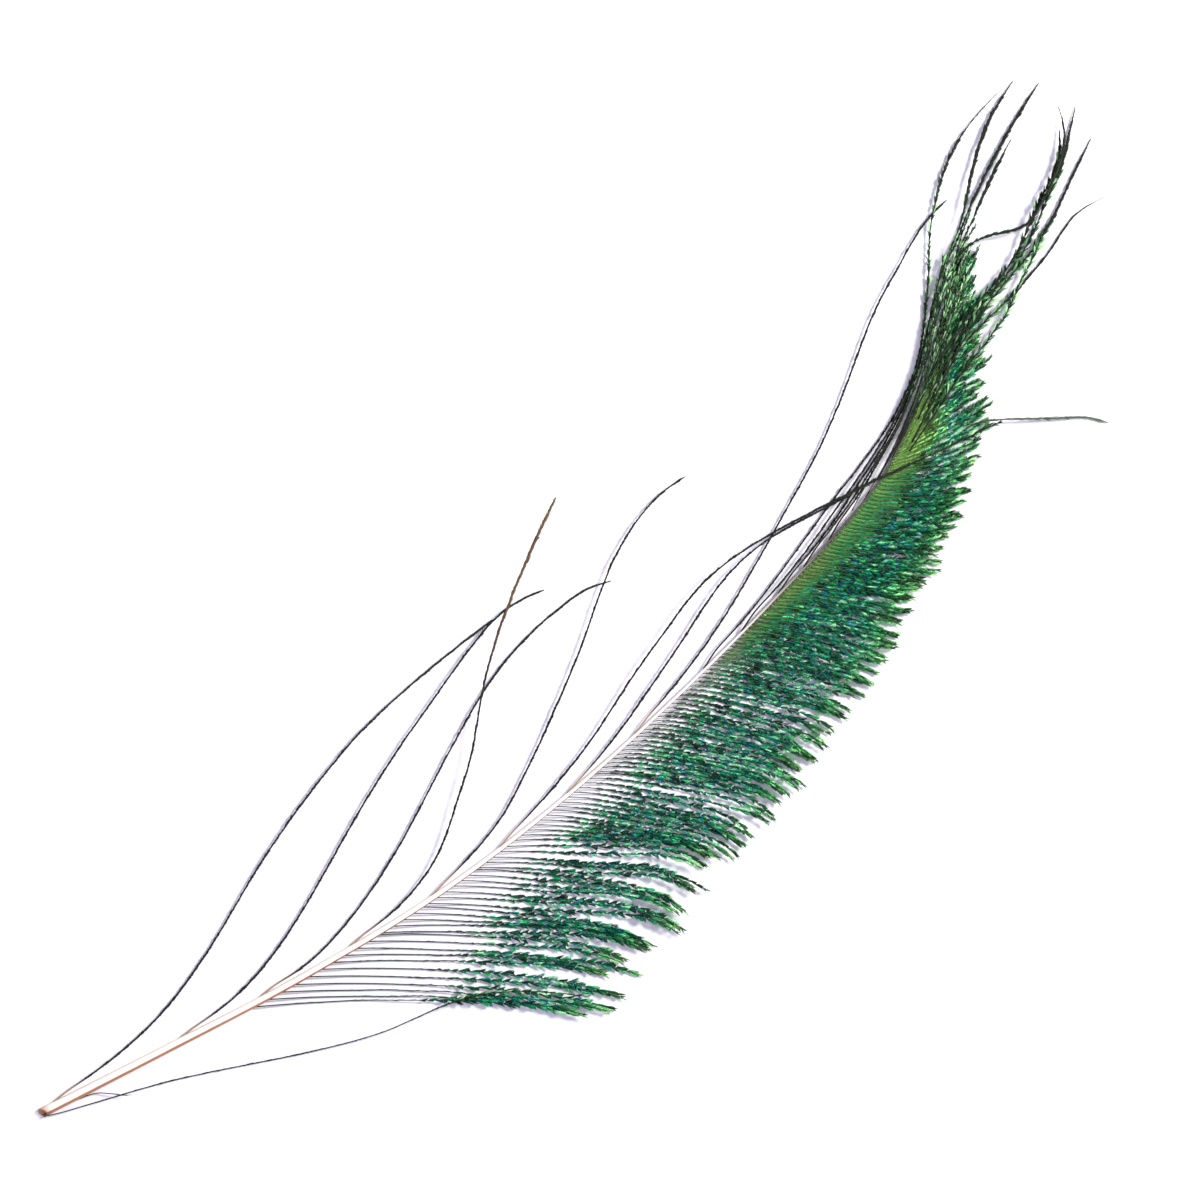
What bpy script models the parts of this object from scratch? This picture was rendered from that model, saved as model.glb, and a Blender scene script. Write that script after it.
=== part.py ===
"""Peacock sword feather, lying flat: a curved shaft, a dense vane of barbs on its right side that has
split into locks, and long loose barbs on its left side and round its tip.

The feather is drawn in millimetres from the cut end of its quill. X runs towards the tip, Y towards
the side with the loose barbs and Z up from the surface that it lies on. The last step moves the
whole feather over the origin and the units are metres from there on.
"""

import bmesh
import bpy
import numpy as np
from mathutils import Vector

NAME = "peacock_sword_feather"
MM = 0.001

# The shaft's centreline, with its height and radius at each place along X.
SHAFT_LINE = [
    (0, 0.4), (20, -6.5), (40, -13.3), (60, -20.0), (80, -25.8), (100, -31.0), (120, -34.9),
    (140, -37.7), (160, -39.6), (180, -40.7), (200, -41.3), (220, -41.4), (240, -40.9),
    (254, -39.6), (265, -36.9), (276, -32.4), (287, -26.6), (297, -20.6), (305, -16.0),
]
SHAFT_HEIGHT = [(0, 1.2), (60, 1.1), (120, 1.3), (200, 1.4), (255, 1.6), (305, 1.0)]
SHAFT_RADIUS = [
    (0, 1.2), (40, 1.05), (80, 0.82), (120, 0.62), (160, 0.48), (200, 0.37), (255, 0.27), (305, 0.15),
]
QUILL_CUT_SLANT = 2.2  # length of the slanted cut at the quill's end
SHAFT_SIDES = 12

# The vane's locks, from the quill to the tip: where each one's roots start and end along the shaft,
# and the tips of its barbs, in the same order.
LOCK_THICKNESS = 1.5
LOCK_GAP = 0.6  # along the shaft, between one lock's roots and the next one's
ROOT_GAP = 0.55  # between the shaft's side and the roots
BARB_BOW = 0.035  # how far a barb bows towards the tip, as a share of its length
LOCKS = [
    (54, 75, [(108, -76), (112, -80.5), (117, -84.5), (120, -82)]),
    (75, 89, [(122, -77), (125.5, -80.5), (129, -79)]),
    (89, 102, [(131, -75), (134.5, -80.2)]),
    (102, 117, [(138, -76), (141, -80.5), (144, -80.2), (147, -79)]),
    (117, 128, [(151, -75), (153.3, -80.3), (155.5, -74)]),
    (128, 141, [(158.5, -73.5), (161, -76.5), (163.5, -79), (165, -75)]),
    (141, 154, [(166.5, -76.5), (170.5, -79), (173, -76), (177, -78.2)]),
    (154, 168, [(179, -76), (184, -78), (187, -77.6)]),
    (168, 182, [(189, -75), (194, -76.2), (198, -75.6), (201, -74.5)]),
    (182, 196, [(202, -75), (210, -75), (214, -73.8)]),
    (196, 210, [(215, -72), (220.5, -73), (228, -70.5)]),
    (210, 222, [(229, -68.5), (233, -68.3), (239.5, -66)]),
    (222, 234, [(240.5, -65), (245.5, -65.6), (253.5, -63)]),
    (234, 246, [(254.5, -61.5), (260.5, -60.6), (265, -58.8)]),
    (246, 255, [(266, -57), (271, -55.6), (275, -52.8)]),
    (255, 261, [(276, -51.6), (279, -52.3), (284, -48.5)]),
    (261, 268, [(284.5, -46.5), (290.5, -46), (291, -42.3)]),
    (268, 277, [(292, -41), (295.5, -39), (299, -35.2)]),
    (277, 288, [(299.5, -33.5), (304, -30), (306, -26)]),
    (288, 302, [(306.5, -23.5), (310, -19), (314, -14.6)]),
]

# The loose barbs: the places that each one passes, with its height, from its root to its tip.
BARB_ROOT_RADIUS = 0.3
BARB_TIP_RADIUS = 0.15
LOOSE_BARBS = {
    "left_barb_01": [
        (9, -0.7, 1.2), (20, -2.8, 0.9), (36, -4.1, 0.7), (50, -2.9, 0.7), (64, -0.2, 0.8),
        (79, 3.4, 1.0), (95, 6.3, 1.2), (112, 8.2, 1.2), (121, 8.7, 1.1), (137, 8.0, 0.9),
        (152, 6.3, 0.6), (164, 4.6, 0.4),
    ],
    "left_barb_02": [
        (42, -12.2, 1.2), (50, -13.7, 1.0), (58, -14.3, 0.9), (71, -13.2, 0.9), (87, -9.8, 1.0),
        (104, -5.4, 1.2), (123, -1.2, 1.4), (140, 1.5, 1.5), (156, 3.8, 1.4), (166, 4.2, 1.3),
        (173, 2.7, 0.7), (178, 0.5, 0.4),
    ],
    "left_barb_03": [
        (63, -19.2, 1.2), (72, -21.2, 1.1), (82, -21.5, 0.9), (95, -20.1, 0.8), (109, -17.2, 0.9),
        (125, -12.6, 1.0), (141, -8.1, 1.1), (153, -5.4, 0.8), (165, -4.4, 0.6), (177, -5.2, 0.6),
        (186, -7.0, 0.5), (191, -9.7, 0.4),
    ],
    "left_barb_04": [
        (87, -26.2, 1.3), (96, -27.4, 1.3), (106, -27.1, 1.6), (114, -25.4, 2.0), (126, -20.0, 2.7),
        (137, -14.4, 3.4), (149, -6.3, 4.4), (162, 1.0, 5.6), (176, 6.9, 7.0), (187, 11.0, 8.0),
        (196, 14.0, 8.4),
    ],
    "left_barb_05": [
        (110, -31.5, 1.3), (120, -31.5, 1.2), (131, -30.4, 1.2), (143, -27.0, 1.3), (158, -21.8, 1.5),
        (175, -15.2, 1.8), (189, -8.8, 1.9), (201, -4.8, 1.7), (215, -3.6, 1.0), (222, -5.0, 0.4),
    ],
    "left_barb_06": [
        (130, -34.9, 1.4), (143, -34.6, 1.5), (160, -33.0, 1.8), (176, -29.9, 2.4), (192, -27.5, 3.0),
        (206, -26.1, 3.4), (219, -27.8, 3.8), (232, -31.5, 4.0), (245, -36.0, 4.2), (256, -39.9, 4.3),
        (266, -43.9, 3.8), (276, -47.6, 3.0), (285, -51.0, 1.4),
    ],
    "left_barb_07": [
        (151, -37.7, 1.4), (162, -37.0, 1.4), (178, -34.7, 1.6), (193, -32.1, 1.8), (205, -29.8, 2.0),
        (215, -29.0, 2.3), (226, -30.4, 2.7), (236, -33.5, 2.9), (247, -37.2, 3.0),
    ],
    "left_barb_08": [
        (173, -39.1, 1.4), (184, -38.4, 1.3), (202, -35.9, 1.2), (218, -32.2, 1.1), (234, -28.0, 1.1),
        (250, -23.5, 1.1), (266, -17.3, 1.2), (281, -10.8, 1.4), (296, -6.4, 1.3), (308, -3.8, 0.9),
        (315, -3.9, 0.5),
    ],
    "left_barb_09": [
        (196, -39.8, 1.4), (210, -39.1, 1.1), (226, -37.2, 0.9), (244, -34.7, 0.8), (262, -32.5, 0.7),
        (273, -29.7, 0.6), (283, -25.2, 0.6), (292, -18.6, 0.9), (299, -13.0, 1.2), (305, -7.3, 1.3),
        (312, -2.5, 1.3), (321, 2.2, 1.1), (331, 4.9, 0.8), (344, 5.3, 0.4),
    ],
    "left_barb_10": [
        (209, -40.1, 2.2), (224, -39.3, 2.0), (240, -37.1, 2.1), (256, -34.5, 2.2), (270, -31.2, 2.3),
        (282, -26.2, 2.3), (293, -19.6, 2.6), (303, -14.2, 2.7), (312, -10.6, 2.8), (319, -6.5, 2.6),
        (328, -1.2, 1.9), (337, 2.6, 1.2), (347, 4.7, 0.5),
    ],
    "left_barb_11": [
        (222, -40.2, 1.2), (236, -39.0, 1.0), (250, -36.5, 0.9), (264, -33.6, 0.9), (277, -29.0, 1.4),
        (288, -23.0, 1.5), (299, -16.4, 1.3), (310, -12.2, 1.3), (320, -8.2, 1.3), (331, -4.8, 1.1),
        (341, -2.2, 0.8), (351, -0.2, 0.5),
    ],
    "left_barb_12": [
        (231, -40.0, 2.3), (244, -38.4, 2.2), (258, -35.5, 2.9), (272, -31.6, 3.5), (285, -25.6, 3.7),
        (297, -18.6, 3.8), (307, -14.6, 3.6), (316, -11.6, 2.9), (326, -7.9, 2.1), (336, -4.9, 1.9),
    ],
    "left_barb_13": [
        (240, -39.6, 1.5), (250, -38.0, 1.6), (262, -34.8, 1.9), (275, -30.5, 2.4), (287, -24.6, 2.5),
        (297, -18.2, 2.5), (305, -15.9, 2.5), (311, -15.6, 2.6), (317, -18.4, 2.7), (323, -21.9, 3.5),
        (329, -21.2, 3.7), (337, -18.7, 3.5), (344, -15.0, 2.9), (348, -10.9, 1.9), (350, -7.6, 1.2),
    ],
    "tip_barb_01": [
        (281, -30.8, 3.3), (289, -28.6, 3.0), (297, -27.3, 2.4), (305, -26.6, 2.2), (313, -26.0, 2.3),
        (321, -23.8, 2.5), (329, -20.6, 2.4), (337, -18.2, 2.2), (342, -15.6, 1.8), (346, -11.8, 1.2),
    ],
    "tip_barb_02": [
        (271, -36.0, 3.4), (281, -32.6, 3.4), (291, -29.6, 2.7), (301, -28.0, 2.4), (312, -27.0, 1.3),
        (321, -25.4, 1.0), (331, -21.7, 1.1), (341, -17.8, 1.1), (348, -13.6, 0.8), (353, -10.6, 0.5),
    ],
    "tip_barb_03": [
        (266, -38.8, 3.4), (277, -35.4, 3.4), (288, -31.9, 3.4), (298, -29.4, 3.1), (309, -28.2, 1.8),
        (320, -27.4, 1.2), (330, -25.4, 1.0), (340, -22.0, 0.7), (350, -18.8, 0.4),
    ],
    "tip_barb_04": [
        (275, -35.6, 2.4), (285, -32.4, 2.2), (294, -31.2, 2.2), (302, -31.3, 2.2), (312, -31.4, 1.0),
        (323, -30.7, 0.6), (334, -29.0, 0.5), (342, -31.0, 0.4),
    ],
    "tip_barb_05": [
        (264, -39.9, 2.4), (275, -38.0, 2.3), (286, -36.0, 2.3), (297, -34.8, 2.2), (305, -33.5, 2.1),
        (312, -30.9, 2.2), (318, -29.0, 2.3), (324, -27.0, 2.2),
    ],
    "stray_barb": [
        (259, -41.6, 2.3), (267, -44.4, 2.4), (274, -45.6, 2.4), (280, -46.8, 2.3), (285, -50.4, 2.2),
        (290, -55.3, 1.6), (296, -61.2, 1.0), (300.5, -65.6, 0.6), (303, -70, 0.4),
    ],
    "base_barb": [
        (4, -3.2, 0.9), (12, -7.8, 0.7), (28, -17.0, 0.6), (44, -27.8, 0.6), (60, -38.6, 0.8),
        (74, -46.6, 1.5), (84, -50.6, 2.2), (93, -54.8, 2.4), (102, -61.8, 2.4), (109, -69.5, 2.3),
        (114, -76.0, 2.2),
    ],
    "barb_stub": [
        (14, -6.6, 0.8), (16.4, -9.3, 1.5), (18.2, -11.6, 1.9), (19.6, -12.8, 1.9),
    ],
}
BARB_STEPS = 2  # straight pieces between one place on a barb and the next
BARB_BEVEL = 1  # gives a barb six sides

# Colour, roughness and metallic value of each material.
FINISHES = {
    "shaft_keratin": ((0.86, 0.76, 0.60), 0.42, 0.0),
    "barb_dark": ((0.10, 0.12, 0.07), 0.55, 0.0),
    "barb_brown": ((0.24, 0.15, 0.08), 0.55, 0.0),
    "vane_green": ((0.04, 0.30, 0.12), 0.40, 0.3),
}


def clear_scene():
    for old in list(bpy.data.objects):
        bpy.data.objects.remove(old, do_unlink=True)


def make_material(name):
    colour, roughness, metallic = FINISHES[name]
    material = bpy.data.materials.new(name)
    material.use_nodes = True
    shader = material.node_tree.nodes["Principled BSDF"]
    shader.inputs["Base Color"].default_value = (*colour, 1.0)
    shader.inputs["Roughness"].default_value = roughness
    shader.inputs["Metallic"].default_value = metallic
    return material


def along(table, x):
    """The value that a list of (place, value) pairs gives at x."""
    places, values = zip(*table)
    return float(np.interp(x, places, values))


def shaft_side(x):
    """The place on the shaft's right side, clear of it, where a barb with its root at x starts."""
    step = 1.0
    rise = along(SHAFT_LINE, x + step) - along(SHAFT_LINE, x - step)
    outwards = Vector((rise, -2 * step)).normalized()
    return Vector((x, along(SHAFT_LINE, x))) + outwards * (along(SHAFT_RADIUS, x) + ROOT_GAP)


def barb_side(root, tip, steps):
    """Places along a barb from its root to its tip, bowed towards the feather's tip."""
    chord = tip - root
    bow = Vector((-chord.y, chord.x)) * BARB_BOW
    places = []
    for i in range(1, steps):
        t = i / steps
        places.append(root + chord * t + bow * 4 * t * (1 - t))
    return places


def add_curve(name, material, collection):
    curve = bpy.data.curves.new(name, "CURVE")
    curve.materials.append(material)
    thing = bpy.data.objects.new(name, curve)
    collection.objects.link(thing)
    return thing, curve


def add_tube(name, places, radii, material, collection, steps, bevel):
    """A tapered round tube through the places, which are (x, y, z) in millimetres."""
    thing, curve = add_curve(name, material, collection)
    curve.dimensions = "3D"
    curve.bevel_depth = MM
    curve.bevel_resolution = bevel
    curve.resolution_u = steps
    curve.use_fill_caps = True
    spline = curve.splines.new("BEZIER")
    spline.bezier_points.add(len(places) - 1)
    for point, place, radius in zip(spline.bezier_points, places, radii):
        point.co = Vector(place) * MM
        point.handle_left_type = point.handle_right_type = "AUTO"
        point.radius = radius
    return thing


def add_lock(name, first_root, last_root, tips, material, collection):
    """A flat lock of the vane, as an outline given a thickness, lying on the surface."""
    roots = [shaft_side(x) for x in np.linspace(first_root + LOCK_GAP / 2, last_root - LOCK_GAP / 2, 4)]
    tips = [Vector(tip) for tip in tips]
    near_side = barb_side(roots[0], tips[0], 5)
    far_side = barb_side(roots[-1], tips[-1], 5)
    outline = roots + far_side + tips[::-1] + near_side[::-1]
    thing, curve = add_curve(name, material, collection)
    curve.dimensions = "2D"
    curve.fill_mode = "BOTH"
    curve.extrude = LOCK_THICKNESS / 2 * MM
    spline = curve.splines.new("POLY")
    spline.points.add(len(outline) - 1)
    for point, place in zip(spline.points, outline):
        point.co = (place.x * MM, place.y * MM, 0.0, 1.0)
    spline.use_cyclic_u = True
    thing.location.z = LOCK_THICKNESS / 2 * MM
    return thing


def add_shaft(material, collection):
    """The shaft as one tapered tube, cut off on a slant at the quill's end."""
    places = [(x, y, along(SHAFT_HEIGHT, x)) for x, y in SHAFT_LINE]
    radii = [along(SHAFT_RADIUS, x) for x, y in SHAFT_LINE]
    curve_thing = add_tube("shaft_curve", places, radii, material, collection, 2, SHAFT_SIDES // 2 - 2)
    bpy.context.view_layer.update()
    mesh = bpy.data.meshes.new_from_object(curve_thing.evaluated_get(bpy.context.evaluated_depsgraph_get()))
    shaft = bpy.data.objects.new("shaft", mesh)
    shaft.matrix_world = curve_thing.matrix_world
    bpy.data.objects.remove(curve_thing, do_unlink=True)
    collection.objects.link(shaft)

    solid = bmesh.new()
    solid.from_mesh(mesh)
    bmesh.ops.remove_doubles(solid, verts=solid.verts, dist=0.00001)
    heel = Vector(places[0]) * MM
    cut_facing = Vector((-2 * radii[0], 0, QUILL_CUT_SLANT)).normalized()
    cut = bmesh.ops.bisect_plane(
        solid,
        geom=solid.verts[:] + solid.edges[:] + solid.faces[:],
        dist=0.000001,
        plane_co=heel + Vector((QUILL_CUT_SLANT / 2 * MM, 0, 0)),
        plane_no=cut_facing,
        clear_outer=True,
    )
    rim = [part for part in cut["geom_cut"] if isinstance(part, bmesh.types.BMEdge)]
    bmesh.ops.edgeloop_fill(solid, edges=rim)
    bmesh.ops.recalc_face_normals(solid, faces=solid.faces)
    solid.to_mesh(mesh)
    solid.free()
    mesh.shade_smooth()
    return shaft


def centre_feather(things):
    """Moves every piece so that the middle of the feather's underside is at the origin."""
    bpy.context.view_layer.update()
    corners = [thing.matrix_world @ Vector(corner) for thing in things for corner in thing.bound_box]
    low = Vector([min(corner[i] for corner in corners) for i in range(3)])
    high = Vector([max(corner[i] for corner in corners) for i in range(3)])
    shift = Vector(((low.x + high.x) / 2, (low.y + high.y) / 2, 0))
    for thing in things:
        thing.location -= shift


def main():
    clear_scene()
    feather = bpy.data.collections.new(NAME)
    bpy.context.scene.collection.children.link(feather)
    materials = {name: make_material(name) for name in FINISHES}

    things = [add_shaft(materials["shaft_keratin"], feather)]
    for number, (first_root, last_root, tips) in enumerate(LOCKS, 1):
        name = f"vane_lock_{number:02d}"
        things.append(add_lock(name, first_root, last_root, tips, materials["vane_green"], feather))
    for name, places in LOOSE_BARBS.items():
        radii = np.linspace(BARB_ROOT_RADIUS, BARB_TIP_RADIUS, len(places))
        material = materials["barb_brown" if name == "left_barb_04" else "barb_dark"]
        things.append(add_tube(name, places, radii, material, feather, BARB_STEPS, BARB_BEVEL))
    centre_feather(things)


main()
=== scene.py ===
import math

import bpy
import numpy as np
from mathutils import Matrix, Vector


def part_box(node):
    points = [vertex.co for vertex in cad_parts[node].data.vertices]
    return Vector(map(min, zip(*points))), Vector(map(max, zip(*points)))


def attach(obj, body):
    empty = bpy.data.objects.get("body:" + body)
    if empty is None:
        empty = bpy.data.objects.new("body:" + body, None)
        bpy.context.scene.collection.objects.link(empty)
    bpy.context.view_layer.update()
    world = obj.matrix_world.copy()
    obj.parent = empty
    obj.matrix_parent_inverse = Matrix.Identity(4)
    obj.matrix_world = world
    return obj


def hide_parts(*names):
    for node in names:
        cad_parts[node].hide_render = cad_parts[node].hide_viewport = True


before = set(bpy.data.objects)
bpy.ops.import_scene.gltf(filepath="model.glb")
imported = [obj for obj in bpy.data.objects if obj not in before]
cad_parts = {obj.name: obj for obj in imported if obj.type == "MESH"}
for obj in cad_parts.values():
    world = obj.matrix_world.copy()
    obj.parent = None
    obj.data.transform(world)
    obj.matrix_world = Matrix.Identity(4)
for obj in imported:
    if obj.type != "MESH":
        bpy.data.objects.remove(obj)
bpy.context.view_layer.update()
mm = 0.001

# Places below are millimetres from the quill's cut end, with the first lock's tip 84.5 mm to its right.
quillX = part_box("shaft")[0][0]
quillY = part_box("vane_lock_01")[0][1] + 84.5 * mm


def spot(x, y, z=0.0):
    return np.array([quillX + x * mm, quillY + y * mm, z * mm])


def along(table, x):
    places, values = zip(*table)
    return np.interp(x, places, values)


def deselectAll():
    if bpy.context.object and bpy.context.object.mode != "OBJECT":
        bpy.ops.object.mode_set(mode="OBJECT")
    bpy.ops.object.select_all(action="DESELECT")


def ease(value, low, high):
    t = np.clip((value - low) / (high - low), 0, 1)
    return t * t * (3 - 2 * t)


def mix(first, second, share):
    return first + (second - first) * share


def travelled(path):
    return np.r_[0, np.cumsum(np.linalg.norm(np.diff(path, axis=0), axis=1))]


stageLook = {"floorSize": 6.0, "floorCuts": 3, "floorColour": (0.90, 0.90, 0.90), "floorRoughness": 0.9}
cameraLook = {"target": (185.6, -10.9), "turn": -45.97, "lens": 100.0, "height": 0.815, "nearest": 0.01}
lightLook = {
    "keyFrom": (0.95, -0.30), "keyElevation": 44.0, "keyDistance": 1.2, "keySize": 0.34, "keyPower": 19.0,
    "keyColour": (1.0, 0.985, 0.95), "roomColour": (0.80, 0.76, 0.98), "roomStrength": 0.78,
}


def buildStage():
    deselectAll()
    bpy.ops.mesh.primitive_plane_add(size=stageLook["floorSize"], location=(0, 0, 0))
    floor = bpy.context.object
    floor.name = "paleFloor"
    bpy.ops.object.mode_set(mode="EDIT")
    bpy.ops.mesh.subdivide(number_cuts=stageLook["floorCuts"])
    bpy.ops.object.mode_set(mode="OBJECT")
    floor.data.materials.append(
        plainMaterial("floorWhite", stageLook["floorColour"], stageLook["floorRoughness"]))

    bpy.context.scene.view_settings.view_transform = "Standard"
    world = bpy.data.worlds.new("softRoom")
    bpy.context.scene.world = world
    world.use_nodes = True
    room = world.node_tree.nodes["Background"]
    room.inputs["Color"].default_value = (*lightLook["roomColour"], 1)
    room.inputs["Strength"].default_value = lightLook["roomStrength"]

    target = Vector(spot(*cameraLook["target"]))
    rise = math.radians(lightLook["keyElevation"])
    sideways = Vector((*lightLook["keyFrom"], 0)).normalized() * math.cos(rise)
    key = bpy.data.lights.new("softKey", "AREA")
    key.shape = "DISK"
    key.size = lightLook["keySize"]
    key.energy = lightLook["keyPower"]
    key.color = lightLook["keyColour"]
    keyThing = bpy.data.objects.new("softKey", key)
    bpy.context.collection.objects.link(keyThing)
    aim = sideways + Vector((0, 0, math.sin(rise)))
    keyThing.location = target + aim * lightLook["keyDistance"]
    keyThing.rotation_euler = aim.to_track_quat("Z", "Y").to_euler()

    lens = bpy.data.cameras.new("aboveCamera")
    lens.lens = cameraLook["lens"]
    lens.clip_start = cameraLook["nearest"]
    camera = bpy.data.objects.new("aboveCamera", lens)
    bpy.context.collection.objects.link(camera)
    camera.location = target + Vector((0, 0, cameraLook["height"]))
    camera.rotation_euler = (0, 0, math.radians(cameraLook["turn"]))
    bpy.context.scene.camera = camera
    print("stage: floor, soft key light and camera")


def newMaterial(name):
    material = bpy.data.materials.new(name)
    material.use_nodes = True
    return material, material.node_tree, material.node_tree.nodes["Principled BSDF"]


def plainMaterial(name, colour, roughness):
    material, _, shader = newMaterial(name)
    shader.inputs["Base Color"].default_value = (*colour, 1)
    shader.inputs["Roughness"].default_value = roughness
    return material


def put(tree, kind, **settings):
    node = tree.nodes.new(kind)
    for key, value in settings.items():
        setattr(node, key, value)
    return node


def calculate(tree, operation, first, second=None, third=None, clamp=False):
    node = put(tree, "ShaderNodeMath", operation=operation, use_clamp=clamp)
    for socket, value in zip(node.inputs, (first, second, third)):
        if isinstance(value, (int, float)):
            socket.default_value = value
        elif value is not None:
            tree.links.new(value, socket)
    return node.outputs[0]


def blendColours(tree, factor, first, second, mode="MIX"):
    node = put(tree, "ShaderNodeMix", data_type="RGBA", blend_type=mode)
    # a colour mix keeps its factor in socket 0, its colours in sockets 6 and 7 and its result in output 2
    for socket, value in ((node.inputs[0], factor), (node.inputs[6], first), (node.inputs[7], second)):
        if isinstance(value, tuple):
            socket.default_value = (*value, 1)
        elif isinstance(value, (int, float)):
            socket.default_value = value
        else:
            tree.links.new(value, socket)
    return node.outputs[2]


black, white = (0, 0, 0), (1, 1, 1)


def rampOf(tree, factor, stops):
    node = put(tree, "ShaderNodeValToRGB")
    node.color_ramp.interpolation = "EASE"
    elements = node.color_ramp.elements
    while len(elements) < len(stops):
        elements.new(0.5)
    for element, (place, colour) in zip(elements, stops):
        element.position = place
        element.color = (*colour, 1)
    tree.links.new(factor, node.inputs["Fac"])
    return node.outputs["Color"]


def noiseOf(tree, scale, detail=2.0):
    where = put(tree, "ShaderNodeTexCoord")
    node = put(tree, "ShaderNodeTexNoise")
    node.inputs["Scale"].default_value = scale
    node.inputs["Detail"].default_value = detail
    tree.links.new(where.outputs["Object"], node.inputs["Vector"])
    return node.outputs["Fac"]


def attributeOf(tree, name):
    return put(tree, "ShaderNodeAttribute", attribute_name=name).outputs["Fac"]


# One group turns a fibre's tone into darker and lighter versions of its colour, up to a pale glint: the tone
# holds random variation together with painted shade and painted highlights, and the pale glint is a painted
# highlight.
toneLook = {
    "darkest": 0.06, "rise": 3.0, "towardsTip": 0.2, "glintColour": (0.56, 0.75, 0.42), "glintShare": 0.65,
    "glintFrom": 0.8, "glintSlope": 2.2, "roughness": 0.52, "smoother": 0.18,
}


def buildFibreTone():
    look = toneLook
    tree = bpy.data.node_groups.new("fibreTone", "ShaderNodeTree")
    for name, kind in (("Colour", "Color"), ("Tone", "Float"), ("Reach", "Float")):
        tree.interface.new_socket(name=name, in_out="INPUT", socket_type="NodeSocket" + kind)
    for name, kind in (("Colour", "Color"), ("Roughness", "Float")):
        tree.interface.new_socket(name=name, in_out="OUTPUT", socket_type="NodeSocket" + kind)
    given = put(tree, "NodeGroupInput")
    result = put(tree, "NodeGroupOutput")
    tone = given.outputs["Tone"]
    squared = calculate(tree, "MULTIPLY", tone, tone)
    level = calculate(tree, "MULTIPLY_ADD", squared, look["rise"], look["darkest"])
    lit = calculate(tree, "MULTIPLY_ADD", given.outputs["Reach"], look["towardsTip"], level)
    grey = put(tree, "ShaderNodeCombineColor")
    for socket in grey.inputs:
        tree.links.new(lit, socket)
    scaled = blendColours(tree, 1.0, given.outputs["Colour"], grey.outputs[0], "MULTIPLY")
    # tones above glintFrom are mixed towards a pale colour: a painted highlight
    slope = look["glintSlope"]
    glint = calculate(tree, "MULTIPLY_ADD", tone, slope, -slope * look["glintFrom"], clamp=True)
    share = calculate(tree, "MULTIPLY", glint, look["glintShare"])
    tree.links.new(blendColours(tree, share, scaled, look["glintColour"]), result.inputs["Colour"])
    roughness = calculate(tree, "MULTIPLY_ADD", tone, -look["smoother"], look["roughness"])
    tree.links.new(roughness, result.inputs["Roughness"])
    return tree


def finishBarb(tree, shader, colour):
    group = put(tree, "ShaderNodeGroup", node_tree=fibreTone)
    tree.links.new(colour, group.inputs["Colour"])
    tree.links.new(attributeOf(tree, "tone"), group.inputs["Tone"])
    tree.links.new(attributeOf(tree, "reach"), group.inputs["Reach"])
    tree.links.new(group.outputs["Colour"], shader.inputs["Base Color"])
    tree.links.new(group.outputs["Roughness"], shader.inputs["Roughness"])


def namedStops(look, key):
    return [(place, look[colour]) for place, colour in look[key]]


# In each list of stops, 0 is a barb's root and 1 its tip.
vaneLook = {
    "bareGrey": (0.055, 0.095, 0.052), "olive": (0.20, 0.39, 0.09), "emerald": (0.008, 0.225, 0.080),
    "teal": (0.003, 0.110, 0.140), "leaf": (0.045, 0.26, 0.075), "tip": (0.10, 0.24, 0.08),
    "coolStops": [(0.0, "bareGrey"), (0.14, "bareGrey"), (0.27, "emerald"), (0.70, "emerald"),
                  (0.86, "leaf"), (1.0, "tip")],
    "warmStops": [(0.0, "olive"), (0.10, "olive"), (0.30, "leaf"), (0.44, "emerald"), (0.72, "emerald"),
                  (0.88, "leaf"), (1.0, "tip")],
    "tealStops": [(0.26, black), (0.40, white), (0.70, white), (0.86, black)],
    "patchScale": 150.0, "patchWander": 0.20, "speckScale": 800.0, "speckDetail": 1.0, "speckSlope": 5.0,
    "speckFrom": 0.44, "metallic": 0.5, "specular": 0.25,
}


def vaneMaterial():
    look = vaneLook
    material, tree, shader = newMaterial("iridescentVane")
    shader.inputs["Specular IOR Level"].default_value = look["specular"]
    shader.inputs["Metallic"].default_value = look["metallic"]
    place = attributeOf(tree, "place")
    warmth = attributeOf(tree, "warmth")
    patches = noiseOf(tree, look["patchScale"])
    specks = noiseOf(tree, look["speckScale"], look["speckDetail"])
    wander = calculate(tree, "MULTIPLY_ADD", patches, look["patchWander"], -look["patchWander"] / 2)
    shifted = calculate(tree, "ADD", place, wander, clamp=True)
    cool = rampOf(tree, shifted, namedStops(look, "coolStops"))
    warm = rampOf(tree, shifted, namedStops(look, "warmStops"))
    green = blendColours(tree, warmth, cool, warm)
    band = rampOf(tree, place, look["tealStops"])
    slope = look["speckSlope"]
    spots = calculate(tree, "MULTIPLY_ADD", specks, slope, -slope * look["speckFrom"], clamp=True)
    tealShare = calculate(tree, "MULTIPLY", spots, band)
    finishBarb(tree, shader, blendColours(tree, tealShare, green, look["teal"]))
    return material


looseLook = {
    "cream": (0.60, 0.42, 0.27), "charcoal": (0.034, 0.036, 0.029), "plume": (0.080, 0.205, 0.085),
    "greenTip": (0.034, 0.042, 0.028), "brownTip": (0.25, 0.16, 0.08),
    "stops": [(0.0, "cream"), (0.1, "cream"), (0.22, "charcoal"), (0.55, "charcoal")], "tipFrom": 0.85,
    "specular": 0.06,
}


def looseMaterial(name, tip):
    look = looseLook
    material, tree, shader = newMaterial(name)
    shader.inputs["Specular IOR Level"].default_value = look["specular"]
    stops = namedStops(look, "stops") + [(look["tipFrom"], look[tip]), (1.0, look[tip])]
    body = rampOf(tree, attributeOf(tree, "place"), stops)
    finishBarb(tree, shader, blendColours(tree, attributeOf(tree, "warmth"), body, look["plume"]))
    return material


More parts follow.
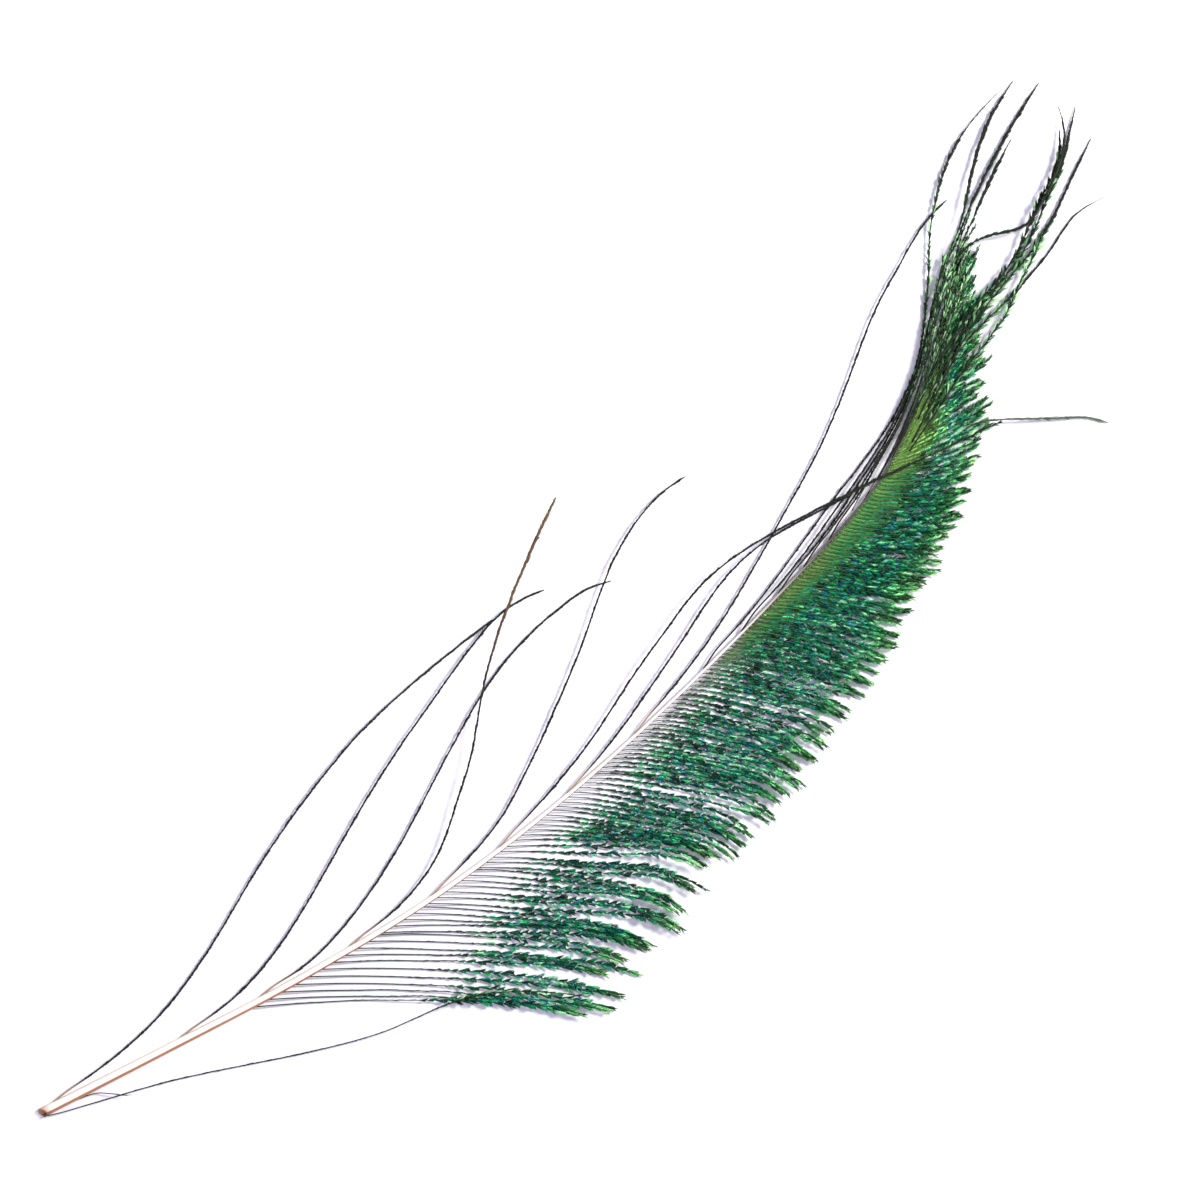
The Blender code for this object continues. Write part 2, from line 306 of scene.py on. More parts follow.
# The stops run along the shaft from the quill at 0 to its tip at 1, or across it from left to right.
shaftLook = {
    "ivory": (0.94, 0.86, 0.76), "orange": (0.40, 0.17, 0.06), "brown": (0.15, 0.07, 0.035),
    "leftEdge": (0.72, 0.54, 0.38), "cutEnd": (0.55, 0.30, 0.15), "dark": (0.09, 0.08, 0.07),
    "clear": white,
    "narrowerStrip": [(0.0, black), (0.14, black), (0.34, (0.16,) * 3), (1.0, (0.16,) * 3)],
    "stripAcross": [(0.0, black), (0.66, black), (0.78, white), (1.0, white)],
    "stripAlong": [(0.0, "orange"), (0.18, "orange"), (0.42, "brown"), (1.0, "brown")],
    "topAcross": [(0.0, "leftEdge"), (0.05, "leftEdge"), (0.13, "ivory"), (1.0, "ivory")],
    "ageAlong": [(0.0, "cutEnd"), (0.004, "cutEnd"), (0.012, "clear"), (0.62, "clear"), (0.78, "dark"),
                 (1.0, "dark")],
    "grainScale": 420.0, "grainDetail": 3.0, "grainInEdge": 0.06, "roughness": 0.28, "grainRoughness": 0.25,
    "coat": 0.15, "coatRoughness": 0.25, "bumpStrength": 0.25, "bumpDepth": 0.1 * mm,
}


def shaftMaterial():
    look = shaftLook
    material, tree, shader = newMaterial("hornShaft")
    shader.inputs["Coat Roughness"].default_value = look["coatRoughness"]
    shader.inputs["Coat Weight"].default_value = look["coat"]
    side = attributeOf(tree, "side")
    place = attributeOf(tree, "place")
    grain = noiseOf(tree, look["grainScale"], look["grainDetail"])
    across = calculate(tree, "MULTIPLY_ADD", grain, look["grainInEdge"], side)
    edge = calculate(tree, "SUBTRACT", across, rampOf(tree, place, look["narrowerStrip"]))
    strip = rampOf(tree, place, namedStops(look, "stripAlong"))
    top = rampOf(tree, across, namedStops(look, "topAcross"))
    colour = blendColours(tree, rampOf(tree, edge, look["stripAcross"]), top, strip)
    ageing = rampOf(tree, place, namedStops(look, "ageAlong"))
    tree.links.new(blendColours(tree, 1.0, colour, ageing, "MULTIPLY"), shader.inputs["Base Color"])
    roughness = calculate(tree, "MULTIPLY_ADD", grain, look["grainRoughness"], look["roughness"])
    tree.links.new(roughness, shader.inputs["Roughness"])
    bump = put(tree, "ShaderNodeBump")
    bump.inputs["Strength"].default_value = look["bumpStrength"]
    bump.inputs["Distance"].default_value = look["bumpDepth"]
    tree.links.new(grain, bump.inputs["Height"])
    tree.links.new(bump.outputs["Normal"], shader.inputs["Normal"])
    return material


def ringCentres(nodeName, sides, skip=0):
    corners = np.array([corner.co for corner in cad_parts[nodeName].data.vertices])
    corners = np.unique(corners, axis=0)[skip:]
    count = len(corners) // sides
    return corners[: count * sides].reshape(count, sides, 3).mean(axis=1)


def throughPoints(points, gap):
    # a smooth curve through the points, with a point every gap along it
    points = np.asarray(points, float)
    reach = travelled(points)
    slope = np.gradient(points, reach, axis=0)
    places = np.linspace(0, reach[-1], max(int(reach[-1] / gap), 6) + 1)
    k = np.clip(np.searchsorted(reach, places, side="right") - 1, 0, len(reach) - 2)
    span = (reach[k + 1] - reach[k])[:, None]
    t = (places - reach[k])[:, None] / span
    start = (2 * t**3 - 3 * t**2 + 1) * points[k] + (t**3 - 2 * t**2 + t) * span * slope[k]
    end = (3 * t**2 - 2 * t**3) * points[k + 1] + (t**3 - t**2) * span * slope[k + 1]
    return start + end


shaftPiece = {
    "solidSides": 12, "solidEndRings": 2, "firstRing": 8 * mm, "ringSides": 16, "gap": 3.0 * mm,
    "hollowInset": 0.35 * mm, "hollowDepth": 2.5 * mm, "cutSlant": 2.2 * mm, "smoothBelow": 50,
}
shaftRadius = [(0, 1.2), (40, 1.05), (80, 0.82), (120, 0.62), (160, 0.48), (200, 0.37), (255, 0.27),
               (305, 0.15)]


def shaftLine():
    look = shaftPiece
    sides = look["solidSides"]
    rings = ringCentres("shaft", sides, skip=sides * look["solidEndRings"])
    rings = rings[rings[:, 0] > quillX + look["firstRing"]]
    first = rings[0] + (rings[0] - rings[1]) * (rings[0][0] - quillX) / (rings[1][0] - rings[0][0])
    return throughPoints(np.vstack([first, rings]), look["gap"])


def buildShaft(line):
    look = shaftPiece
    radii = along(shaftRadius, (line[:, 0] - quillX) / mm) * mm
    heading = np.gradient(line, axis=0)
    angles = np.arctan2(heading[:, 1], heading[:, 0])
    deselectAll()
    bpy.ops.mesh.primitive_circle_add(
        vertices=look["ringSides"], radius=radii[0], fill_type="NOTHING", location=line[0],
        rotation=(math.pi / 2, 0, angles[0] + math.pi / 2),
    )
    shaft = bpy.context.object
    shaft.name = "shaftKeratin"
    bpy.ops.object.transform_apply(location=True, rotation=True, scale=True)
    bpy.ops.object.mode_set(mode="EDIT")
    bpy.ops.mesh.select_all(action="SELECT")
    for i in range(1, len(line)):
        step = Vector(line[i] - line[i - 1])
        bpy.ops.mesh.extrude_region_move(TRANSFORM_OT_translate={"value": step})
        size = radii[i] / radii[i - 1]
        bpy.ops.transform.resize(value=(size, size, size), center_override=Vector(line[i]))
    bpy.ops.mesh.select_all(action="SELECT")
    bpy.ops.mesh.fill_holes(sides=0)
    # the quill's end is cut off on a slant, and hollow
    slant = look["cutSlant"]
    bpy.ops.mesh.select_all(action="SELECT")
    bpy.ops.mesh.bisect(
        plane_co=Vector(line[0]) + Vector((slant / 2, 0, 0)),
        plane_no=Vector((-2 * radii[0], 0, slant)).normalized(), clear_outer=True, use_fill=True,
    )
    bpy.ops.mesh.inset(thickness=look["hollowInset"])
    inwards = Vector(line[1] - line[0]).normalized() * look["hollowDepth"]
    bpy.ops.mesh.extrude_region_move(TRANSFORM_OT_translate={"value": inwards})
    bpy.ops.mesh.select_all(action="SELECT")
    bpy.ops.mesh.normals_make_consistent(inside=False)
    bpy.ops.object.mode_set(mode="OBJECT")
    markShaft(shaft, line, radii)
    shaft.data.materials.append(shaftMaterial())
    deselectAll()
    shaft.select_set(True)
    bpy.context.view_layer.objects.active = shaft
    bpy.ops.object.shade_smooth_by_angle(angle=math.radians(look["smoothBelow"]))
    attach(shaft, "root")
    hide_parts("shaft")
    print("shaft:", len(shaft.data.polygons), "faces")
    return radii


def markShaft(shaft, line, radii):
    # each corner is given its place along the shaft, and its side: 0 on the left, 1 on the right
    corners = np.array([corner.co for corner in shaft.data.vertices])
    centreY = np.interp(corners[:, 0], line[:, 0], line[:, 1])
    reach = np.interp(corners[:, 0], line[:, 0], radii)
    marks = {
        "side": np.clip(0.5 - 0.5 * (corners[:, 1] - centreY) / reach, 0, 1),
        "place": (corners[:, 0] - quillX) / (line[-1, 0] - quillX),
    }
    for name, values in marks.items():
        store = shaft.data.attributes.new(name, "FLOAT", "POINT")
        store.data.foreach_set("value", values.astype(np.float32))


barbuleModel = {"knee": 0.42, "thickness": 0.5, "mapMargin": 0.04}


def modelBarbule(name):
    # a flat leaf with three sides, one unit long along X, pointed at both ends
    look = barbuleModel
    deselectAll()
    front = 1 - look["knee"]
    bpy.ops.mesh.primitive_cone_add(
        vertices=3, radius1=1.0, radius2=0.0, depth=front, end_fill_type="NOTHING",
        location=(look["knee"] + front / 2, 0, 0), rotation=(0, math.pi / 2, 0),
    )
    leaf = bpy.context.object
    leaf.name = name
    bpy.ops.object.transform_apply(location=True, rotation=True, scale=True)
    bpy.ops.object.mode_set(mode="EDIT")
    bpy.ops.mesh.select_all(action="DESELECT")
    bpy.ops.mesh.select_mode(type="EDGE")
    bpy.ops.mesh.select_non_manifold()
    bpy.ops.mesh.extrude_region_move(TRANSFORM_OT_translate={"value": (-look["knee"], 0, 0)})
    bpy.ops.mesh.merge(type="CENTER")
    bpy.ops.mesh.select_all(action="SELECT")
    bpy.ops.transform.resize(value=(1, 1, look["thickness"]), center_override=(0, 0, 0))
    bpy.ops.mesh.normals_make_consistent(inside=False)
    bpy.ops.object.mode_set(mode="OBJECT")
    corners = np.array([corner.co for corner in leaf.data.vertices])
    faces = np.array([list(face.vertices) for face in leaf.data.polygons])
    bpy.data.objects.remove(leaf, do_unlink=True)
    # each side of the leaf has its own third of the map
    middle = corners[faces].mean(axis=1)
    turn = np.arctan2(middle[:, 2], middle[:, 1])
    third = np.argsort(np.argsort(np.round(turn, 3))) // 2
    maps = np.zeros((len(faces), 3, 2))
    margin = look["mapMargin"]
    for i, face in enumerate(faces):
        knees = [k for k in face if margin < corners[k][0] < 1 - margin]
        for j, k in enumerate(face):
            across = float(knees.index(k)) if k in knees else 0.5
            maps[i, j] = ((third[i] + mix(margin, 1 - margin, across)) / 3, corners[k][0])
    return corners, faces, maps


def directions(path):
    forward = np.gradient(path, axis=0)
    forward /= np.linalg.norm(forward, axis=1)[:, None]
    sideways = np.cross((0, 0, 1), forward)
    sideways /= np.linalg.norm(sideways, axis=1)[:, None]
    return forward, sideways, np.cross(forward, sideways)


class Fibres:
    # collects the stems and barbules of one piece, and joins them into one mesh
    mapShare, cellMargin, stripMargin, stripEnd, lowest = 0.8, 0.06, 0.05, 0.002, 0.02 * mm

    def __init__(self):
        self.stems, self.fringes = [], []

    def stem(self, path, radii, place, tone, warmth, sides=4):
        _, sideways, upwards = directions(path)
        turn = np.arange(sides) * 2 * math.pi / sides + math.pi / 4
        cosines, sines = np.cos(turn)[None, :, None], np.sin(turn)[None, :, None]
        ring = cosines * sideways[:, None] + sines * upwards[:, None]
        corners = (path[:, None] + ring * radii[:, None, None]).reshape(-1, 3)
        corners = np.vstack([corners, path[:1], path[-1:]])
        rings = len(path)
        faces, maps = [], []
        near, far = self.stripEnd, 1 - self.stripEnd
        spread = np.linspace(near, far, rings)
        margin = self.stripMargin
        strips = [((j + margin) / sides, (j + 1 - margin) / sides) for j in range(sides)]
        for i in range(rings - 1):
            for j, (low, high) in enumerate(strips):
                a, b = i * sides + j, i * sides + (j + 1) % sides
                faces += [(a, b, b + sides), (a, b + sides, a + sides)]
                maps += [
                    ((spread[i], low), (spread[i], high), (spread[i + 1], high)),
                    ((spread[i], low), (spread[i + 1], high), (spread[i + 1], low)),
                ]
        first, last = rings * sides, rings * sides + 1
        for j, (low, high) in enumerate(strips):
            k = (j + 1) % sides
            faces += [(first, k, j), (last, last - 1 - sides + j, last - 1 - sides + k)]
            maps += [((0.0, (low + high) / 2), (near, high), (near, low)),
                     ((1.0, (low + high) / 2), (far, low), (far, high))]
        values = {"place": place, "tone": tone, "warmth": warmth, "reach": 0.0}
        for key, value in values.items():
            value = np.broadcast_to(value, rings)
            values[key] = np.r_[np.repeat(value, sides), value[0], value[-1]]
        self.stems.append((corners, np.array(faces), np.array(maps), values))

    def fringe(self, path, side, starts, shape, lengths, lean, lift, twist, width, curl, place, tone, warmth):
        # starts are places along the path, and each value after shape has a number for each barbule
        model, faces, maps = shape
        steps = travelled(path)
        forward, sideways, upwards = directions(path)

        def at(values):
            return np.column_stack([np.interp(starts, steps, values[:, i]) for i in range(3)])

        root, ahead, across, above = at(path), at(forward), at(sideways) * side, at(upwards)
        outwards = across * np.cos(lift)[:, None] + above * np.sin(lift)[:, None]
        axis = ahead * np.cos(lean)[:, None] + outwards * np.sin(lean)[:, None]
        flat = np.cross(above, axis)
        flat /= np.linalg.norm(flat, axis=1)[:, None]
        normal = np.cross(axis, flat)
        wide = flat * np.cos(twist)[:, None] + normal * np.sin(twist)[:, None]
        thick = normal * np.cos(twist)[:, None] - flat * np.sin(twist)[:, None]
        x, y, z = model[:, 0], model[:, 1], model[:, 2]
        corners = (
            root[:, None]
            + axis[:, None] * (x[None, :, None] * lengths[:, None, None])
            + ahead[:, None] * ((x**2)[None, :, None] * (lengths * curl)[:, None, None])
            + wide[:, None] * (y[None, :, None] * width[:, None, None])
            + thick[:, None] * (z[None, :, None] * width[:, None, None])
        )
        corners[:, :, 2] = np.maximum(corners[:, :, 2], self.lowest)
        self.fringes.append((corners, faces, maps, x, {"place": place, "tone": tone, "warmth": warmth}))

    def build(self, name, material):
        corners, faces, maps = [], [], []
        values = {"place": [], "tone": [], "warmth": [], "reach": []}
        count = 0
        for i, (stemCorners, stemFaces, stemMaps, stemValues) in enumerate(self.stems):
            corners.append(stemCorners)
            faces.append(stemFaces + count)
            row = (i + mix(self.stripMargin, 1 - self.stripMargin, stemMaps[:, :, 1])) / len(self.stems)
            maps.append(np.stack([stemMaps[:, :, 0], mix(self.mapShare, 1, row)], axis=2))
            for key in values:
                values[key].append(stemValues[key])
            count += len(stemCorners)
        total = sum(len(fringe[0]) for fringe in self.fringes)
        cells = math.ceil(math.sqrt(total))
        done = 0
        for grid, model, modelMaps, reach, given in self.fringes:
            n, each = grid.shape[:2]
            corners.append(grid.reshape(-1, 3))
            faces.append((model[None] + (np.arange(n) * each)[:, None, None]).reshape(-1, 3) + count)
            number = done + np.arange(n)
            column, row = number % cells, number // cells
            inCell = mix(self.cellMargin, 1 - self.cellMargin, modelMaps[None])
            u = (column[:, None, None] + inCell[:, :, :, 0]) / cells
            v = (row[:, None, None] + inCell[:, :, :, 1]) / cells * self.mapShare
            maps.append(np.stack([u, v], axis=3).reshape(-1, 3, 2))
            for key in ("place", "tone", "warmth"):
                values[key].append(np.repeat(given[key], each))
            values["reach"].append(np.tile(reach, n))
            count += n * each
            done += n
        corners, faces, maps = np.vstack(corners), np.vstack(faces), np.vstack(maps)
        mesh = bpy.data.meshes.new(name)
        mesh.vertices.add(len(corners))
        mesh.vertices.foreach_set("co", corners.ravel().astype(np.float32))
        mesh.loops.add(faces.size)
        mesh.loops.foreach_set("vertex_index", faces.ravel().astype(np.int32))
        mesh.polygons.add(len(faces))
        mesh.polygons.foreach_set("loop_start", np.arange(0, faces.size, 3, dtype=np.int32))
        mesh.update(calc_edges=True)
        layer = mesh.uv_layers.new(name="OFBake")
        layer.data.foreach_set("uv", maps.ravel().astype(np.float32))
        for key, collected in values.items():
            store = mesh.attributes.new(key, "FLOAT", "POINT")
            store.data.foreach_set("value", np.concatenate(collected).astype(np.float32))
        mesh.materials.append(material)
        piece = bpy.data.objects.new(name, mesh)
        bpy.context.collection.objects.link(piece)
        deselectAll()
        piece.select_set(True)
        bpy.context.view_layer.objects.active = piece
        bpy.ops.object.shade_smooth()
        return piece, len(faces)


barbuleRow = {"jitter": 0.3, "beadWaver": 0.25, "beadWaverRate": 1.7}


def barbuleStarts(rng, first, last, gap):
    starts = np.arange(first, last, gap * mm)
    return starts + rng.uniform(-barbuleRow["jitter"], barbuleRow["jitter"], len(starts)) * gap * mm


def beadsOf(rng, starts, period):
    # barbules stick together in beads: each one's bead, and its place in the bead from -1 to 1
    look = barbuleRow
    even = starts / period
    wave = np.sin(even * look["beadWaverRate"] + rng.uniform(0, 6))
    warped = even + look["beadWaver"] * wave + rng.uniform(0, 1)
    bead = np.floor(warped).astype(int)
    return bead - bead.min(), (warped - bead - 0.5) * 2


def leanedBack(size, lean, shift):
    # the length and lean that a barbule gets when its tip moves back along the barb by shift
    ahead, outwards = size * np.cos(lean) - shift, size * np.sin(lean)
    return np.hypot(ahead, outwards), np.arctan2(outwards, ahead)


# For each lock from the quill on: where its roots start and end along the shaft, its tips' height, and
# where its tufts' tips are.
lockRows = [
    (54, 75, 2.6, [(112, -80.5), (117, -84.3), (119.6, -82)]),
    (75, 89, 1.6, [(122, -76.5), (125.5, -80.3), (128.7, -78.8)]),
    (89, 102, 2.2, [(131.5, -77), (134.3, -80)]),
    (102, 117, 3.0, [(141, -80.4), (146, -79.4)]),
    (117, 128, 3.0, [(152.4, -79), (154, -79.6), (157, -74.6)]),
    (128, 141, 2.4, [(158.8, -73), (161, -76.3), (163.2, -78.8)]),
    (141, 154, 2.4, [(166.8, -77.6), (170.3, -78.8), (176.5, -78)]),
    (154, 168, 2.2, [(181, -77.2), (184, -77.8), (186.8, -77.4)]),
    (168, 182, 2.0, [(190.5, -76.2), (194, -76), (198.3, -75.4)]),
    (182, 196, 2.0, [(202.5, -75), (206.5, -74.2), (210, -74.8), (213.6, -73.6)]),
    (196, 210, 2.0, [(216.5, -72.8), (220.3, -72.8), (223.6, -71.8), (227.6, -70.6)]),
    (210, 223, 2.0, [(230, -69.2), (233.2, -68.2), (236.2, -67), (239.2, -66.2)]),
    (223, 236.5, 2.0, [(243, -66), (245.6, -65.4), (249.4, -64.4), (253, -63)]),
    (236.5, 248.5, 1.8, [(257, -61.4), (260.4, -60.5), (264.4, -59)]),
    (248.5, 256.5, 1.8, [(267.8, -57.2), (271, -55.5), (274, -53)]),
    (256.5, 259.5, 1.8, [(278.5, -52.2), (281, -50.5), (283.6, -48.6)]),
    (259.5, 263, 1.8, [(284.5, -46.3), (290.3, -46), (288, -43.5)]),
    (263, 268, 1.8, [(291, -41.8), (295, -39), (296, -36.5)]),
    (268, 279, 2.0, [(299, -33), (303.5, -29.8), (305.6, -26.4)]),
    (279, 302, 2.2, [(306, -23), (309.8, -19.2), (313.6, -14.9)]),
]
vaneLocks = {
    f"vane_lock_{number:02d}": {"roots": (first, last), "lift": lift, "tufts": tufts}
    for number, (first, last, lift, tufts) in enumerate(lockRows, 1)
}
# Each list says how something changes along the shaft.
vaneShape = {
    "rootGap": [(54, 3.6), (66, 3.6), (80, 3.3), (95, 2.8), (110, 2.3), (125, 2.05), (145, 1.8), (160, 1.58),
                (185, 1.46), (200, 1.30), (215, 1.15), (255, 1.05), (257, 0.68), (268, 0.9), (279, 1.5),
                (302, 3.0)],
    "bareLength": [(54, 44), (75, 32), (90, 22), (105, 14), (120, 9), (150, 4.2), (180, 1.4), (205, 0.3),
                   (302, 0.2)],
    "paleLength": [(54, 44), (75, 32), (90, 22), (105, 14), (120, 10), (150, 7.5), (180, 5), (205, 2),
                   (250, 4.5), (256, 5), (262, 10.5), (302, 10.5)],
    "gatherFrom": [(54, 0.42), (74, 0.42), (80, 0.5), (100, 0.45), (117, 0.45), (130, 0.62), (150, 0.74),
                   (180, 0.8), (302, 0.8)],
    "gather": [(54, 0.85), (74, 0.85), (78, 0.76), (117, 0.76), (130, 0.72), (180, 0.76), (235, 0.74),
               (255, 0.6), (257, 0.35), (302, 0.4)],
    "bow": [(54, 0.025), (160, 0.025), (200, 0.01), (226, 0.0), (238, -0.04), (252, -0.06), (258, -0.04),
            (264, 0.02), (302, 0.05)],
    "rootLean": [(54, 0), (130, 0.4), (150, 1.0), (165, 1.8), (215, 1.2), (228, 0), (302, 0)],
    "hook": [(54, 0.08), (75, 0.14), (90, 0.30), (102, 0.42), (117, 0.48), (130, 0.48), (165, 0.42),
             (190, 0.28), (205, 0.12), (220, 0.0), (302, 0.0)],
    "raggedness": [(54, 0.03), (258, 0.03), (268, 0.2)],
    "stemWidth": [(54, 1.15), (90, 1.05), (110, 0.95), (302, 0.9)], "stemRoot": 0.17, "stemTip": 0.07,
    "rootLeanReach": 5.0, "rootJitter": 0.08, "shaftShare": 0.8, "tipJitter": 0.25, "pathGap": 1.2,
    "lobeFrom": 196, "barbsInLobe": 2.6, "lobeLonger": 0.025, "lobeLongerRate": 2.3, "lobeRound": 0.01,
    "lobeRoundEnd": 1.2, "lobeRoundPower": 1.5, "gatherTo": 1.06, "waves": 5, "waver": 0.12,
    "tipRise": (0.4, 1.0), "lowNearShaft": 0.45, "lowBeyond": 0.9, "lowSpread": (0.7, 1.6), "lowest": 0.3,
}


def shaftEdge(line, radii, x, side=-1):
    px = quillX + x * mm
    centre = np.array([px, np.interp(px, line[:, 0], line[:, 1]), np.interp(px, line[:, 0], line[:, 2])])
    rise = np.interp(px + mm, line[:, 0], line[:, 1]) - np.interp(px - mm, line[:, 0], line[:, 1])
    heading = np.array([2 * mm, rise])
    heading /= np.linalg.norm(heading)
    radius = np.interp(px, line[:, 0], radii)
    return centre + side * np.array([-heading[1], heading[0], 0]) * radius * vaneShape["shaftShare"]


def tipOutline():
    # each lock's share of the vane's edge: it meets its neighbours half way between their tufts
    tufts = [np.array(lock["tufts"], float) for lock in vaneLocks.values()]
    outlines = {}
    for i, name in enumerate(vaneLocks):
        before = (tufts[i - 1][-1] + tufts[i][0]) / 2 if i else tufts[0][0] + (-3, 5)
        after = (tufts[i][-1] + tufts[i + 1][0]) / 2 if i + 1 < len(tufts) else tufts[-1][-1] + (1, 3)
        places = np.r_[0, (np.arange(len(tufts[i])) + 0.5) / len(tufts[i]), 1]
        outlines[name] = (places, np.vstack([before, tufts[i], after]))
    return outlines


def pointOn(outline, t):
    places, points = outline
    return np.array([np.interp(t, places, points[:, 0]), np.interp(t, places, points[:, 1])])


def vaneBarbPaths(lock, outline, line, radii, rng):
    look = vaneShape
    first, last = lock["roots"]
    roots = [first + 0.5 * along(look["rootGap"], first)]
    while roots[-1] < last - 0.75 * along(look["rootGap"], last):
        roots.append(roots[-1] + along(look["rootGap"], roots[-1]))
    share = (np.arange(len(roots)) + 0.5) / len(roots)
    lobes = len(lock["tufts"])
    if first >= look["lobeFrom"]:
        lobes = max(2, round(len(roots) / look["barbsInLobe"]))
    paths = []
    for x, t in zip(roots, share):
        lobe = min(int(t * lobes), lobes - 1)
        middle = (lobe + 0.5) / lobes
        offset = (t - middle) * lobes * 2
        root = shaftEdge(line, radii, x + rng.uniform(-look["rootJitter"], look["rootJitter"]))
        start = (root[:2] - spot(0, 0)[:2]) / mm
        even, tuft = pointOn(outline, t), pointOn(outline, middle)
        reach = np.linalg.norm(even - start)
        # a lobe is round: its outer barbs are shorter than its middle ones
        longer = math.sin(lobe * look["lobeLongerRate"] + first) * look["lobeLonger"]
        shorter = (look["lobeRound"] + look["lobeRoundEnd"] / reach) * abs(offset) ** look["lobeRoundPower"]
        size = 1 + longer - shorter - rng.uniform(0, along(look["raggedness"], x))
        s = np.linspace(0, 1, 30)
        gather = ease(s, along(look["gatherFrom"], x), look["gatherTo"]) * along(look["gather"], x)
        target = mix(even, tuft, gather[:, None]) + rng.normal(0, look["tipJitter"], 2)
        chord = (target - start) * size
        straight = chord[-1]
        # the barb bows on its way, hooks close to its tip and leans forward at its root
        bow = np.column_stack([-chord[:, 1], chord[:, 0]]) * along(look["bow"], x)
        forward = np.array([-straight[1], straight[0]])
        hook = forward * along(look["hook"], x)
        swing = (1 - np.exp(-s * reach / look["rootLeanReach"])) * (1 - s) * along(look["rootLean"], x)
        flat = start + chord * s[:, None] + bow * (4 * s * (1 - s))[:, None]
        flat = flat + hook * (s**4 * (1 - s))[:, None] + forward / np.linalg.norm(straight) * swing[:, None]
        for k in range(look["waves"]):
            wave = np.sin((2 * k + 1.5) * math.pi * s + rng.uniform(0, 6)) * ease(s, 0.15, 0.5)
            flat += look["waver"] * rng.normal(0, 1, 2) / (1 + 0.35 * k) * wave[:, None]
        tipHeight = lock["lift"] * rng.uniform(*look["tipRise"])
        beyond = ease(s, 0.3, 0.6)
        low = look["lowBeyond"] * beyond * rng.uniform(*look["lowSpread"])
        low = look["lowNearShaft"] * (1 - beyond) + low
        height = mix(mix(root[2] / mm, low, ease(s, 0.0, 0.16)), tipHeight, ease(s, 0.6, 1.0))
        height = np.maximum(height, look["lowest"]) * mm
        paths.append((x, np.column_stack([flat[:, 0] * mm + quillX, flat[:, 1] * mm + quillY, height])))
    return paths


# What grows from none to all along the shaft, between two places on it.
vaneStages = {
    "warmFirst": (155, 225), "warmLast": (226, 252), "webbed": (172, 232), "closer": (100, 160),
    "joined": (180, 205), "covered": (192, 225), "greenRoot": (226, 240), "greenRootEnd": (254, 257),
    "fan": (253, 258), "fading": (268, 284), "plain": (272, 280),
}
# stemTone and greening are given for a barb without a web beside the shaft, and with one.
vaneBarb = {
    "lengthSpread": (0.85, 1.15), "longestBare": 0.6, "faded": 0.8, "warmShares": (0.55, 0.45),
    "apartShares": (0.6, 0.4), "greenRootShare": 0.2, "barbTone": 0.06, "stemTone": (0.40, 0.44),
    "stemToneSpread": 0.04, "stemPlace": 0.4, "stemWarmth": 0.8, "greening": (5, 3.5), "tipPart": 8,
    "places": [0, 0.2, 0.35, 0.75, 1.0], "plainPlaces": [0, 0.2, 0.22, 0.24, 0.26],
}


def vaneTraits(x):
    look = vaneBarb
    stage = {name: float(ease(x, *places)) for name, places in vaneStages.items()}
    kept = 1 - look["faded"] * stage["fading"]
    firstShare, lastShare = look["warmShares"]
    closerShare, joinedShare = look["apartShares"]
    return {
        "warmth": (firstShare * stage["warmFirst"] + lastShare * stage["warmLast"]) * kept,
        "webbed": stage["webbed"] * kept,
        "apart": 1 - closerShare * stage["closer"] - joinedShare * stage["joined"],
        "covered": stage["covered"], "fan": stage["fan"], "plain": stage["plain"],
        "greenRoot": look["greenRootShare"] * stage["greenRoot"] * (1 - stage["greenRootEnd"]),
    }


def buildVaneLock(name, lock, outline, line, radii, material, shape, seed):
    look = {**vaneShape, **vaneBarb}
    rng = np.random.default_rng(seed)
    fibres = Fibres()
    for x, path in vaneBarbPaths(lock, outline, line, radii, rng):
        path = throughPoints(path, look["pathGap"] * mm)
        away = travelled(path)
        length = away[-1]
        barb = vaneTraits(x)
        bare = along(look["bareLength"], x) * rng.uniform(*look["lengthSpread"]) * mm
        bare = min(bare, look["longestBare"] * length)
        barbTone = rng.normal(0, look["barbTone"])
        pale = max(bare, along(look["paleLength"], x) * rng.uniform(*look["lengthSpread"]) * mm)
        green = pale + mix(*look["greening"], barb["webbed"]) * mm
        tipFrom = max(length - look["tipPart"] * mm, pale + 6 * mm)
        marks = [0, pale, green, tipFrom, max(length, pale + 10 * mm)]
        places = np.array(look["places"])
        places[:2] += np.array([1, 0.5]) * barb["greenRoot"]
        places = mix(places, np.array(look["plainPlaces"]), barb["plain"])
        barb.update(x=x, path=path, length=length, bare=bare, pale=pale, tone=barbTone, marks=marks,
                    places=places)
        stemRadii = mix(look["stemRoot"], look["stemTip"], away / length) * mm * along(look["stemWidth"], x)
        stemTone = mix(*look["stemTone"], barb["webbed"]) + rng.normal(0, look["stemToneSpread"])
        fibres.stem(path, stemRadii, np.interp(away, marks, places) * look["stemPlace"], stemTone,
                    look["stemWarmth"] * barb["webbed"])
        for side in (-1, 1):
            addBarbules(fibres, barb, side, shape, rng)
            addShortBarbules(fibres, barb, side, shape, rng)
    piece, triangles = fibres.build("vaneBarbs" + name[-2:], material)
    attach(piece, "root")
    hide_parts(name)
    return triangles


